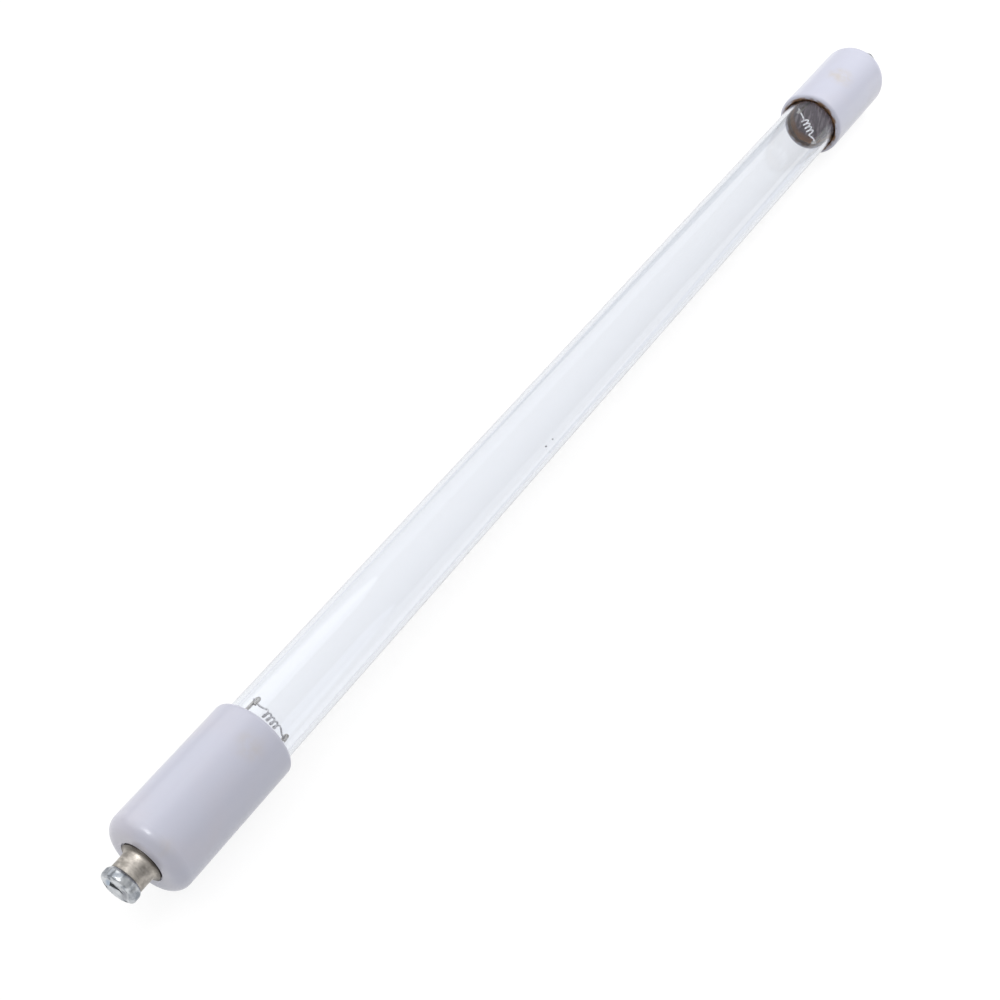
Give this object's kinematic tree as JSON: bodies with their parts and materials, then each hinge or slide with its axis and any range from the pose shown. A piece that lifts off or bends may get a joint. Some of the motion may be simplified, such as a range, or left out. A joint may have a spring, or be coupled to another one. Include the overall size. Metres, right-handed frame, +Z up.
{
  "type": "ultraviolet lamp",
  "caption": "Clear quartz ultraviolet tube lamp with coiled filaments, white ceramic end caps and a single metal contact pin at each end.",
  "frame": {"origin": "middle of the lamp, on the tube's axis, halfway between the two caps", "axes": "+X along the lamp towards the right end, +Z up as the lamp lies in its holders, +Y across it"},
  "size_m": [0.3348, 0.0188, 0.0188],
  "materials": {
    "quartz": "clear fused quartz, polished",
    "ceramic": "white glazed ceramic, satin gloss",
    "contact": "dull nickel plate on brass",
    "solder": "bright solder, dressed smooth",
    "cement": "baked brown cement, matt",
    "tungsten": "drawn tungsten wire",
    "lead_wire": "nickel wire, dull",
    "foil": "molybdenum foil",
    "mercury": "liquid mercury"
  },
  "bodies": {
    "root": {"quartz_tube": "quartz", "mercury_beads": "mercury", "left_ceramic_cap": "ceramic", "left_contact_pin": "contact", "left_tip_solder": "solder", "left_base_cement": "cement", "left_filament": "tungsten", "left_lower_inner_lead": "lead_wire", "left_lower_foil": "foil", "left_lower_outer_lead": "lead_wire", "left_upper_inner_lead": "lead_wire", "left_upper_foil": "foil", "left_upper_outer_lead": "lead_wire", "right_ceramic_cap": "ceramic", "right_contact_pin": "contact", "right_tip_solder": "solder", "right_base_cement": "cement", "right_filament": "tungsten", "right_lower_inner_lead": "lead_wire", "right_lower_foil": "foil", "right_lower_outer_lead": "lead_wire", "right_upper_inner_lead": "lead_wire", "right_upper_foil": "foil", "right_upper_outer_lead": "lead_wire"}
  },
  "joints": []
}
